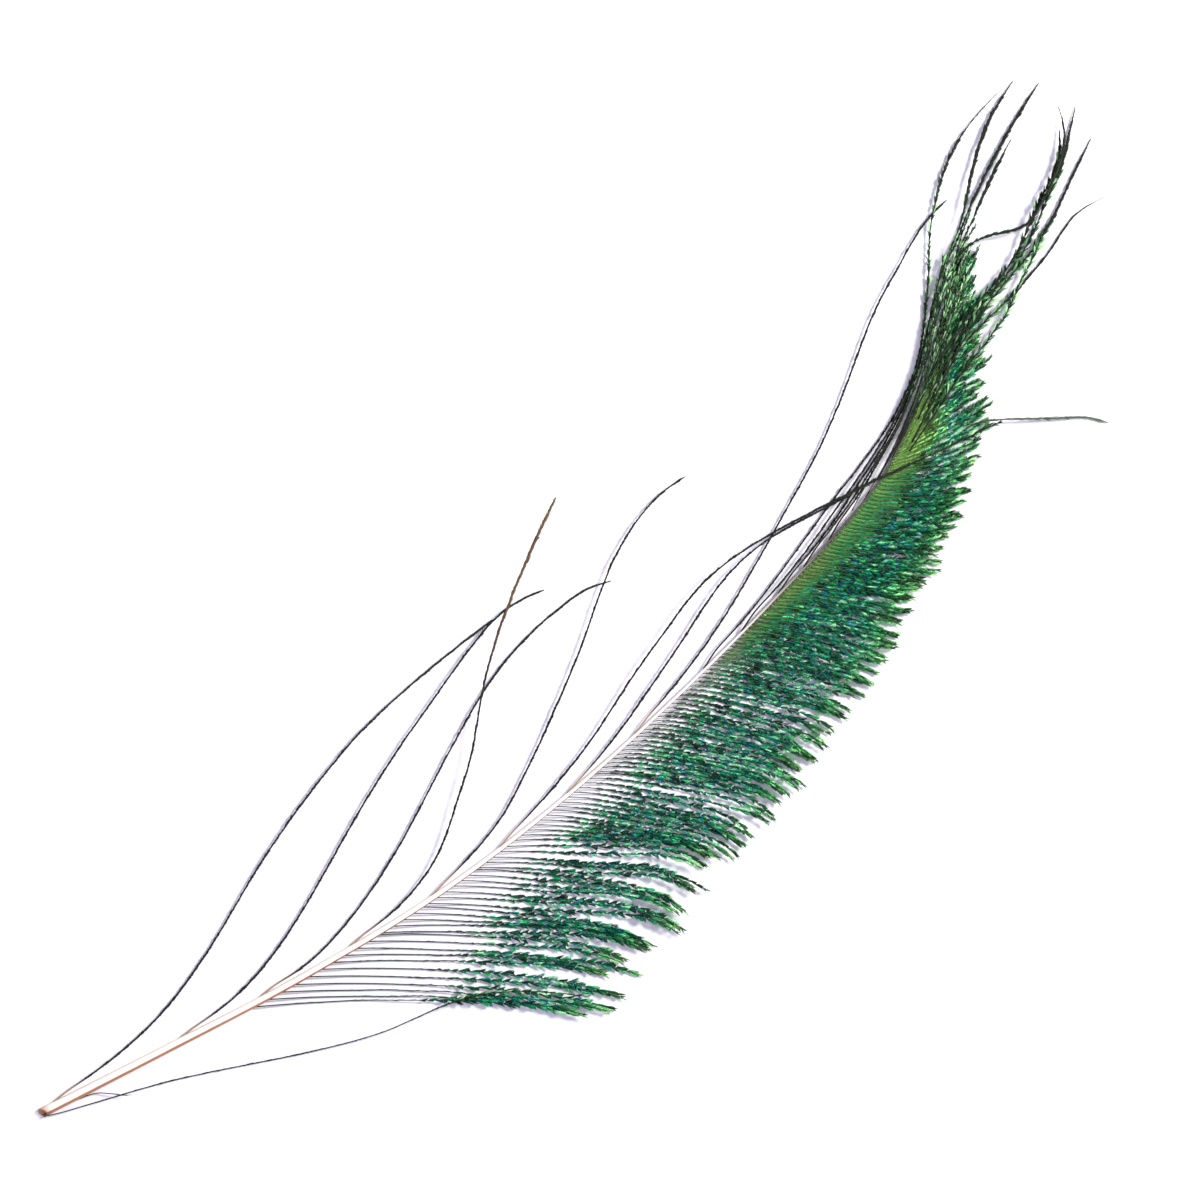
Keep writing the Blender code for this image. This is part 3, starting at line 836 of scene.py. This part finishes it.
# The pairs of the last two rows are for the vane along the shaft and for the fan at its end.
vaneBarbules = {
    "gap": 0.15, "lastPlace": 0.997,
    "length": [(54, 1.9), (100, 1.65), (125, 1.45), (190, 1.4), (205, 1.5), (268, 1.4), (280, 1.1),
               (302, 0.9)],
    "width": [(54, 0.2), (117, 0.17), (302, 0.16)], "lean": [(54, 33), (190, 33), (210, 39), (302, 39)],
    "beadGap": [(54, 2.6), (120, 2.5), (160, 2.1), (200, 1.7), (302, 1.6)],
    "webLength": 0.84, "webLean": 48, "webLift": 4, "webTone": 0.54, "webToneSpread": 0.10,
    "webFrom": 3.5, "webTo": 9, "webPale": 4.5, "joinedTip": 0.8, "firstLength": 0.35, "fullFrom": 0.26,
    "tipShorter": 0.12, "tipStraighter": 0.4, "tipWider": 0.25, "beadLength": 0.16, "ownLength": 0.07,
    "notch": {"joined": 0.35, "apart": 0.75, "covered": 0.2, "power": 2.5},
    "meeting": {"joined": 0.35, "apart": 0.6, "covered": 0.25},
    "ownLean": 4, "lift": 10, "beadLift": 24, "ownLift": 7, "liftRange": (-50, 70), "beadTwist": 0.7,
    "ownTwist": 0.35, "flatWeb": 0.8, "widthSpread": (0.8, 1.25), "curl": 0.25, "tone": 0.55,
    "fanTone": 0.14, "fanTipTone": 0.12, "toneRange": (0.02, 1.2),
    "beadLean": (7, 11), "glint": (0.3, 0.5), "glintAbove": (1.1, 0.7), "beadTone": (0.27, 0.33),
    "notchShade": (0.34, 0.5), "ownTone": (0.10, 0.18),
}


def addBarbules(fibres, barb, side, shape, rng):
    look = vaneBarbules
    x, length, bare, fan = barb["x"], barb["length"], barb["bare"], barb["fan"]
    starts = barbuleStarts(rng, bare, length * look["lastPlace"], look["gap"])
    n = len(starts)
    webEnd = look["webTo"] * mm + max(barb["pale"] - look["webPale"] * mm, 0)
    web = barb["webbed"] * (1 - ease(starts, look["webFrom"] * mm, webEnd))
    beadGap = along(look["beadGap"], x)
    bead, inBead = beadsOf(rng, starts, beadGap * mm)
    longer, leaning, lifted, twisted, lighter = rng.normal(0, 1, (bead.max() + 1, 5))[bead].T
    t = (starts - bare) / (length - bare)
    nearTip = ease(t, 0.85, 1)
    apart = barb["apart"] * (1 - look["joinedTip"] * ease(t, 0.55, 0.85))

    def byBead(amounts):
        return mix(mix(amounts["joined"], amounts["apart"], apart), amounts["covered"], barb["covered"])

    def byFan(key):
        return mix(*look[key], fan)

    size = along(look["length"], x) * mix(look["firstLength"], 1, ease(t, 0.0, look["fullFrom"]))
    size = size * (1 - look["tipShorter"] * nearTip) * (1 + look["beadLength"] * longer)
    size = size * (1 - byBead(look["notch"]) * np.abs(inBead) ** look["notch"]["power"])
    size = mix(size * (1 + rng.normal(0, look["ownLength"], n)), look["webLength"], web)
    lean = along(look["lean"], x) + byFan("beadLean") * leaning + rng.normal(0, look["ownLean"], n)
    lean = np.radians(lean * (1 - look["tipStraighter"] * nearTip))
    lean = mix(lean, math.radians(look["webLean"]), web)
    size, lean = leanedBack(size, lean, inBead * beadGap * 0.5 * byBead(look["meeting"]) * (1 - web))
    lift = look["lift"] + look["beadLift"] * lifted + rng.normal(0, look["ownLift"], n)
    lift = np.radians(np.clip(mix(lift, look["webLift"], web), *look["liftRange"]))
    twist = look["beadTwist"] * twisted + rng.normal(0, look["ownTwist"], n)
    twist = twist * (1 - look["flatWeb"] * web)
    # the longest beads get a painted glint: their tone is raised, which turns them towards the pale highlight
    # colour
    tipward = ease(t, 0.7, 0.9)
    glint = byFan("glint") * (longer > byFan("glintAbove")) * ease(t, 0.3, 0.6) * (1 - fan * tipward)
    # the ends of each bead are darkened: painted shade in the notches between beads
    tone = look["tone"] + byFan("beadTone") * lighter - byFan("notchShade") * inBead**2
    tone = tone + rng.normal(0, byFan("ownTone"), n) + glint + barb["tone"]
    tone = tone + fan * (look["fanTone"] - look["fanTipTone"] * tipward)
    tone = mix(tone, look["webTone"] + rng.normal(0, look["webToneSpread"], n), web)
    width = along(look["width"], x) * mm * rng.uniform(*look["widthSpread"], n)
    width = width * (1 + look["tipWider"] * ease(t, 0.8, 1))
    curl = rng.uniform(0.0, look["curl"], n) * (1 - web)
    fibres.fringe(barb["path"], side, starts, shape, size * mm, lean, lift, twist, width, curl,
                  np.interp(starts, barb["marks"], barb["places"]), np.clip(tone, *look["toneRange"]),
                  np.full(n, barb["warmth"]))


bareBarbules = {
    "first": 0.5, "gap": 0.24, "length": 0.34, "width": 0.07, "lean": 0.45, "lift": 0.3, "twist": 0.6,
    "curl": 0.1, "beadGap": 2.3, "beadLength": 0.4, "beadRange": (0.3, 2.0), "notch": 0.8, "growth": 0.9,
    "growthFrom": 0.55, "tone": 0.36, "beadTone": 0.1,
}


def addShortBarbules(fibres, barb, side, shape, rng):
    # the first part of a barb looks bare, and has only short barbules
    look = bareBarbules
    starts = np.arange(look["first"] * mm, barb["bare"], look["gap"] * mm)
    n = len(starts)
    if n == 0:
        return
    bead, inBead = beadsOf(rng, starts, look["beadGap"] * mm)
    longer, lighter = rng.normal(0, 1, (bead.max() + 1, 2))[bead].T
    size = look["length"] * np.clip(1 + look["beadLength"] * longer, *look["beadRange"])
    size = size * (1 - look["notch"] * inBead**2)
    size = size * (1 + look["growth"] * ease(starts / barb["bare"], look["growthFrom"], 1.0))
    fibres.fringe(barb["path"], side, starts, shape, size * mm, np.full(n, look["lean"]),
                  rng.normal(0, look["lift"], n), rng.normal(0, look["twist"], n),
                  np.full(n, look["width"] * mm), np.full(n, look["curl"]),
                  np.interp(starts, barb["marks"], barb["places"]),
                  np.clip(look["tone"] + look["beadTone"] * lighter, 0, 1), np.full(n, barb["warmth"]))


# A pair of lengths, leans or tones is for a barb's plain part and for its plume. A value beside a name is for
# that barb alone.
looseShape = {
    "solidSides": 6, "pathGap": 1.5, "heel": 5, "firstHeel": 0.8, "stemRoot": 0.22, "stemTip": 0.18,
    "stemSides": 5, "shortStem": 0.8, "thinStem": 0.65, "thickestStem": 1.2, "stemTone": (0.42, 0.3),
    "stemWarmth": 0.2, "gap": 0.13, "first": 5, "lastPlace": 0.998, "bead": 1.6,
    "length": 0.80, "width": (0.115, 0.14), "ownLength": (0.16, 0.22), "farFrom": (296, 312),
    "plumeLength": {"short": 1.2, "tip": 2.5, "other": 1.4}, "plumeNotch": 0.6, "farShorter": 0.2,
    "farDarker": 0.14, "tipFar": 0.3, "lean": (24, 25), "beadLean": (3, 9), "ownLean": 4, "meeting": 0.25,
    "twist": 0.5, "curl": 0.1, "tone": 0.44, "beadTone": 0.12, "ownTone": 0.07, "notchShade": 0.12,
    "strandTone": 0.17, "shortTone": 0.1, "dullBelow": 0.25, "dullDarker": 0.3, "dullGreen": 0.6,
    "glint": 0.5, "glintAbove": 0.6, "plumeTone": 0.16, "plumeBeadTone": 0.2, "plumeNotchShade": 0.35,
    "sparseStem": 0.6, "sparseTone": 0.9, "toneRange": (0.02, 1.15), "ownLift": 16, "plumeLift": 10,
    "beadLift": 25, "fullPlumeFrom": (285, 305), "thinPlume": 0.55, "atTip": 330, "tipBroader": 0.4,
    "tipBroaderFrom": (318, 332), "tipPart": 9, "endPart": 3.5, "endThinner": 0.75,
    "creamUntil": 190, "creamPlaces": [0, 0.1, 0.22, 0.6, 1.0], "darkPlaces": [0.25, 0.25, 0.3, 0.6, 1.0],
    "plumeStart": (262, 284), "plumeEnd": (-4, 10), "fullPlume": ("base_barb", "left_barb_06", "tip_barb_05"),
    "thin": {"base_barb": 0.62, "barb_stub": 0.62}, "shortThin": 0.75, "sparse": {"stray_barb": 0.5},
    "notch": {"left_barb_09": 0.85}, "usualNotch": 0.3, "underVane": (279, 285), "underHeight": 0.35,
}
# How much longer than usual a barb's barbules are, from the first place along X to the last.
broadParts = {
    "left_barb_04": [(150, 1.0), (185, 1.7), (200, 1.7)], "stray_barb": [(280, 1.0), (288, 1.6), (298, 1.6)],
    "left_barb_06": [(225, 1.0), (245, 1.4), (285, 1.4)],
    "left_barb_09": [(292, 1.0), (300, 2.4), (324, 2.0), (332, 0.6), (344, 0.4)],
    "left_barb_10": [(304, 1.0), (314, 2.0), (335, 1.8), (350, 1.5)],
    "left_barb_11": [(304, 1.0), (314, 1.7), (335, 1.8), (350, 1.5)],
    "left_barb_12": [(304, 1.0), (314, 2.0), (330, 1.7), (350, 1.4)],
    "left_barb_13": [(304, 1.0), (311, 1.5), (332, 1.5), (346, 1.1)],
    "tip_barb_01": [(304, 1.2), (318, 1.8), (340, 1.8), (350, 1.4)],
    "tip_barb_02": [(304, 1.2), (318, 1.7), (345, 1.5)], "tip_barb_03": [(304, 1.2), (318, 1.7), (335, 1.4)],
    "tip_barb_04": [(318, 1.0), (332, 0.8), (342, 0.45)],
}
plumeEnds = {
    "left_barb_06": 283, "left_barb_09": 310, "left_barb_10": 312, "left_barb_11": 312, "left_barb_12": 314,
    "left_barb_13": 312, "tip_barb_01": 336, "tip_barb_02": 334, "tip_barb_03": 322, "tip_barb_04": 306,
    "tip_barb_05": 340, "base_barb": 130,
}
plumeStarts = {"base_barb": (84, 92), "left_barb_06": (258, 268)}
# Shorter barbs of the left side that lie along the shaft: the long barb that each goes with, and its places.
shortStrands = [
    ("left_barb_13", [(248, -40.2, 2.0), (258, -37.8, 2.2), (268, -34.4, 2.4), (278, -30.2, 2.6),
        (288, -24.6, 2.8), (297, -18.6, 2.8), (304, -14.4, 2.4), (311, -12.0, 2.0)]),
    ("left_barb_13", [(278, -32.0, 2.0), (288, -27.6, 2.4), (297, -24.0, 2.6), (305, -20.5, 2.4),
        (312, -17.4, 2.0)]),
    ("left_barb_13", [(254, -39.0, 2.2), (265, -36.2, 2.5), (275, -32.4, 2.6), (284, -27.9, 2.6),
        (292, -23.4, 2.4), (299, -19.4, 2.2)]),
    ("left_barb_12", [(254, -39.2, 2.0), (264, -36.2, 2.4), (274, -32.2, 2.8), (284, -26.8, 3.0),
        (293, -21.6, 3.0), (301, -17.6, 2.6), (308, -14.8, 2.2), (315, -13.2, 2.0)]),
    ("left_barb_10", [(260, -38.0, 2.0), (270, -34.8, 2.4), (280, -30.4, 2.8), (290, -25.0, 3.0),
        (299, -20.6, 2.8), (308, -16.6, 2.4)]),
    ("left_barb_11", [(266, -36.4, 2.0), (276, -32.6, 2.4), (286, -28.2, 2.8), (295, -23.8, 2.8),
        (303, -19.4, 2.6), (310, -15.6, 2.2)]),
    ("left_barb_11", [(284, -28.4, 2.2), (293, -23.4, 2.8), (301, -18.4, 2.8), (309, -13.4, 2.6),
        (317, -9.6, 2.2)]),
    ("left_barb_09", [(244, -39.9, 1.8), (256, -36.6, 2.0), (268, -33.4, 2.2), (279, -28.6, 2.4),
        (290, -22.2, 2.4), (298, -16.8, 2.2), (304, -12.9, 2.0)]),
    ("left_barb_09", [(272, -34.4, 2.2), (282, -30.6, 2.6), (291, -26.4, 2.8), (299, -22.8, 2.6),
        (306, -19.4, 2.2)]),
]


def plumeOf(name, fromQuill):
    look = looseShape
    end = plumeEnds.get(name, 0) + np.array(look["plumeEnd"])
    plume = ease(fromQuill, *plumeStarts.get(name, look["plumeStart"])) * (1 - ease(fromQuill, *end))
    if name not in look["fullPlume"]:
        plume = plume * mix(look["thinPlume"], 1, ease(fromQuill, *look["fullPlumeFrom"]))
    return plume


def breadthOf(name, fromQuill):
    look = looseShape
    if name in broadParts:
        return along(broadParts[name], fromQuill)
    if fromQuill[-1] > look["atTip"]:
        return 1 + look["tipBroader"] * ease(fromQuill, *look["tipBroaderFrom"])
    return np.ones(len(fromQuill))


def fringeStrand(fibres, path, shape, rng, name, short):
    look = looseShape
    away = travelled(path)
    length = away[-1]
    fromQuill = (path[:, 0] - quillX) / mm
    kind = "short" if short else "tip" if name.startswith("tip") else "other"
    thin = look["shortThin"] if short else look["thin"].get(name, 1.0)
    sparse = look["sparse"].get(name, 1.0)
    notch = look["notch"].get(name, look["usualNotch"])
    marks = [0, 4 * mm, 11 * mm, max(0.6 * length, 12 * mm), max(length, 20 * mm)]
    cream = name.startswith("left") and not short and fromQuill[0] < look["creamUntil"]
    places = look["creamPlaces" if cream else "darkPlaces"]
    strandTone = rng.normal(look["shortTone"] if short else 0, look["strandTone"])
    plume = plumeOf(name, fromQuill)
    broad = breadthOf(name, fromQuill)
    endPart = look["tipPart" if fromQuill[-1] > look["atTip"] else "endPart"]
    taper = 1 - look["endThinner"] * ease(away, length - endPart * mm, length)
    thick = taper * np.minimum(broad, look["thickestStem"])
    stemRadii = mix(look["stemTip"], look["stemRoot"], 1 - away / length) * thick * mm * thin
    stemRadii = stemRadii * (look["shortStem"] if short else 1) * mix(1, look["thinStem"], plume) * sparse
    stemTone = mix(*look["stemTone"], plume) + (1 - sparse) * look["sparseStem"]
    fibres.stem(path, stemRadii, np.interp(away, marks, places), stemTone, plume * look["stemWarmth"],
                look["stemSides"])
    for side in (-1, 1):
        firstPlace = min(look["first"] * mm, 0.1 * length)
        starts = barbuleStarts(rng, firstPlace, length * look["lastPlace"], look["gap"])
        n = len(starts)
        fluffy = np.interp(starts, away, plume)
        far = fluffy * ease(np.interp(starts, away, fromQuill), *look["farFrom"])
        far = far * (look["tipFar"] if kind == "tip" else 1)
        bead, inBead = beadsOf(rng, starts, look["bead"] * mm)
        longer, leaning, lifted, lighter = rng.normal(0, 1, (bead.max() + 1, 4))[bead].T
        size = look["length"] * thin * ease(starts, 3 * mm, 14 * mm) * np.interp(starts, away, taper * broad)
        size = mix(size, look["plumeLength"][kind], fluffy) * (1 + mix(*look["ownLength"], fluffy) * longer)
        size = size * (1 - mix(notch, look["plumeNotch"], fluffy) * inBead**2)
        size = size * (1 - look["farShorter"] * far)
        lean = mix(*look["lean"], fluffy) + mix(*look["beadLean"], fluffy) * leaning
        lean = np.radians(lean + rng.normal(0, look["ownLean"], n))
        size, lean = leanedBack(size, lean, inBead * look["bead"] * look["meeting"] * fluffy)
        plumeLift = look["plumeLift"] + look["beadLift"] * lifted
        lift = np.radians(mix(look["ownLift"] * rng.normal(0, 1, n), plumeLift, fluffy))
        tone = look["tone"] + look["beadTone"] * lighter + rng.normal(0, look["ownTone"], n)
        # here and in the plume below, the ends of each bead are darkened: painted shade in the notches
        # between beads
        tone = tone - look["notchShade"] * inBead**2
        dull = leaning < look["dullBelow"]
        plumeTone = look["plumeTone"] + strandTone + look["plumeBeadTone"] * lighter
        plumeTone = plumeTone - look["plumeNotchShade"] * inBead**2 - look["dullDarker"] * dull
        # the longest beads of the plume get a painted glint: a raised tone that turns towards the pale
        # highlight colour
        plumeTone = plumeTone + look["glint"] * (longer > look["glintAbove"])
        tone = tone + fluffy * plumeTone + (1 - sparse) * look["sparseTone"] - look["farDarker"] * far
        fibres.fringe(path, side, starts, shape, size * mm, lean, lift, rng.normal(0, look["twist"], n),
                      mix(*look["width"], fluffy) * mm * thin * sparse, np.full(n, look["curl"]),
                      np.interp(starts, marks, places), np.clip(tone, *look["toneRange"]),
                      fluffy * np.where(dull, look["dullGreen"], 1))


def buildLooseBarb(name, material, line, radii, shape, seed):
    look = looseShape
    rng = np.random.default_rng(seed)
    fibres = Fibres()
    places = ringCentres(name, look["solidSides"])
    if name[:4] in ("left", "base") or name == "barb_stub":
        # the root grows out of the shaft's side
        heel = (places[0][0] - quillX) / mm - look["heel"]
        side = 1 if name.startswith("left") else -1
        places = np.vstack([shaftEdge(line, radii, max(heel, look["firstHeel"]), side), places])
    longPath = throughPoints(places, look["pathGap"] * mm)
    if name == "stray_barb":
        # its root part passes below the vane's fan
        under = 1 - ease((longPath[:, 0] - quillX) / mm, *look["underVane"])
        longPath[:, 2] = mix(longPath[:, 2], look["underHeight"] * mm, under)
    fringeStrand(fibres, longPath, shape, rng, name, False)
    for places in [places for owner, places in shortStrands if owner == name]:
        path = throughPoints([spot(*place) for place in places], look["pathGap"] * mm)
        fringeStrand(fibres, path, shape, rng, name, True)
    piece, triangles = fibres.build("barb_" + name, material)
    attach(piece, "root")
    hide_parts(name)
    return triangles


buildStage()
fibreTone = buildFibreTone()
vaneFinish = vaneMaterial()
looseFinish = looseMaterial("charcoalBarb", "greenTip")
brownFinish = looseMaterial("brownTippedBarb", "brownTip")
leaf = modelBarbule("barbule")
print("barbule modelled:", len(leaf[1]), "faces")

line = shaftLine()
shaftRadii = buildShaft(line)

total = 0
outlines = tipOutline()
for number, (name, lock) in enumerate(vaneLocks.items()):
    total += buildVaneLock(name, lock, outlines[name], line, shaftRadii, vaneFinish, leaf, 100 + number)
print("vane:", len(vaneLocks), "locks,", total, "triangles")

total = 0
loose = [name for name in sorted(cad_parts) if name != "shaft" and not name.startswith("vane_lock")]
for number, name in enumerate(loose):
    finish, slot = (brownFinish, "brown_barb") if name == "left_barb_04" else (looseFinish, "loose_barbs")
    total += buildLooseBarb(name, finish, line, shaftRadii, leaf, 300 + number)
print("loose barbs:", len(loose), "barbs,", total, "triangles")

bpy.context.view_layer.update()
